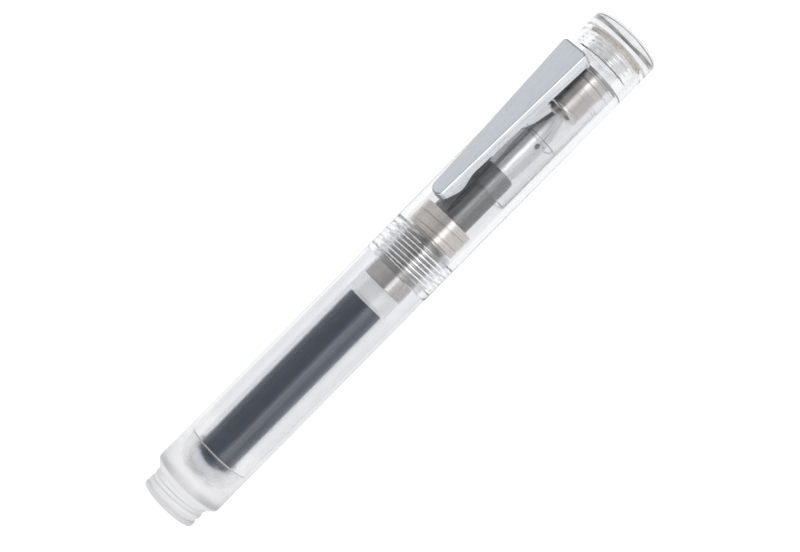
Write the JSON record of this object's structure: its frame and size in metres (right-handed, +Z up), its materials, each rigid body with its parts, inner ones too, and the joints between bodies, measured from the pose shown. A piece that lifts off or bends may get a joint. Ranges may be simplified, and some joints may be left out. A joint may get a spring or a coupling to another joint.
{
  "type": "fountain pen",
  "caption": "Clear pocket fountain pen with screw cap, chromed channel clip, black grip and an ink cartridge seen through the barrel.",
  "frame": {"origin": "middle of the footprint of the pen lying on its side, on the surface it lies on", "axes": "+X along the pen from the barrel's tail to the cap's finial; +Z up, the side that the clip is on"},
  "size_m": [0.107, 0.013, 0.0171],
  "materials": {
    "clear_acrylic": "polished clear acrylic, bore wall frosted",
    "clear_liner": "moulded clear plastic",
    "cartridge_plastic": "translucent moulded plastic",
    "ink": "dark blue-black ink",
    "seal_ball": "small plastic ball",
    "nickel": "turned and nickel plated",
    "black_gloss": "moulded, glossy black",
    "black_matt": "moulded, matt black",
    "nib_steel": "polished stainless sheet",
    "tip_alloy": "polished hard alloy",
    "spring_steel": "stamped spring steel",
    "clip_chrome": "folded sheet, satin chrome top and bright sides",
    "amber_rubber": "translucent amber ring"
  },
  "bodies": {
    "writing_unit": {"section_connector": "nickel", "grip_section": "black_gloss", "nib_housing": "black_matt", "feed": "black_matt", "nib": "nib_steel", "nib_tip": "tip_alloy"},
    "barrel": {"barrel": "clear_acrylic"},
    "cartridge": {"cartridge_body": "cartridge_plastic", "cartridge_ink": "ink", "cartridge_ball": "seal_ball"},
    "cap": {"cap_tube": "clear_acrylic", "inner_cap": "clear_liner", "cap_bush": "nickel", "clip_ring": "spring_steel"},
    "clip": {"clip": "clip_chrome"},
    "finial": {"finial": "clear_acrylic", "finial_o_ring": "amber_rubber"}
  },
  "joints": [
    {"name": "cap_slide", "type": "slide", "parent": "writing_unit", "child": "cap", "axis": [1, 0, 0], "range_m": [0, 0.05]},
    {"name": "barrel_slide", "type": "slide", "parent": "writing_unit", "child": "barrel", "axis": [-1, 0, 0], "range_m": [0, 0.055]},
    {"name": "cartridge_pull", "type": "slide", "parent": "writing_unit", "child": "cartridge", "axis": [-1, 0, 0], "range_m": [0, 0.011]},
    {"name": "clip_flex", "type": "hinge", "parent": "cap", "child": "clip", "pos_m": [0.04465, 0, 0.01245], "axis": [0, 1, 0], "range_deg": [0, 5], "stiffness_Nm_per_rad": 1},
    {"name": "finial_slide", "type": "slide", "parent": "cap", "child": "finial", "axis": [1, 0, 0], "range_m": [0, 0.006]}
  ],
  "couplings": [
    {"joint": "cartridge_pull", "follows": "barrel_slide", "ratio": 0.2}
  ]
}
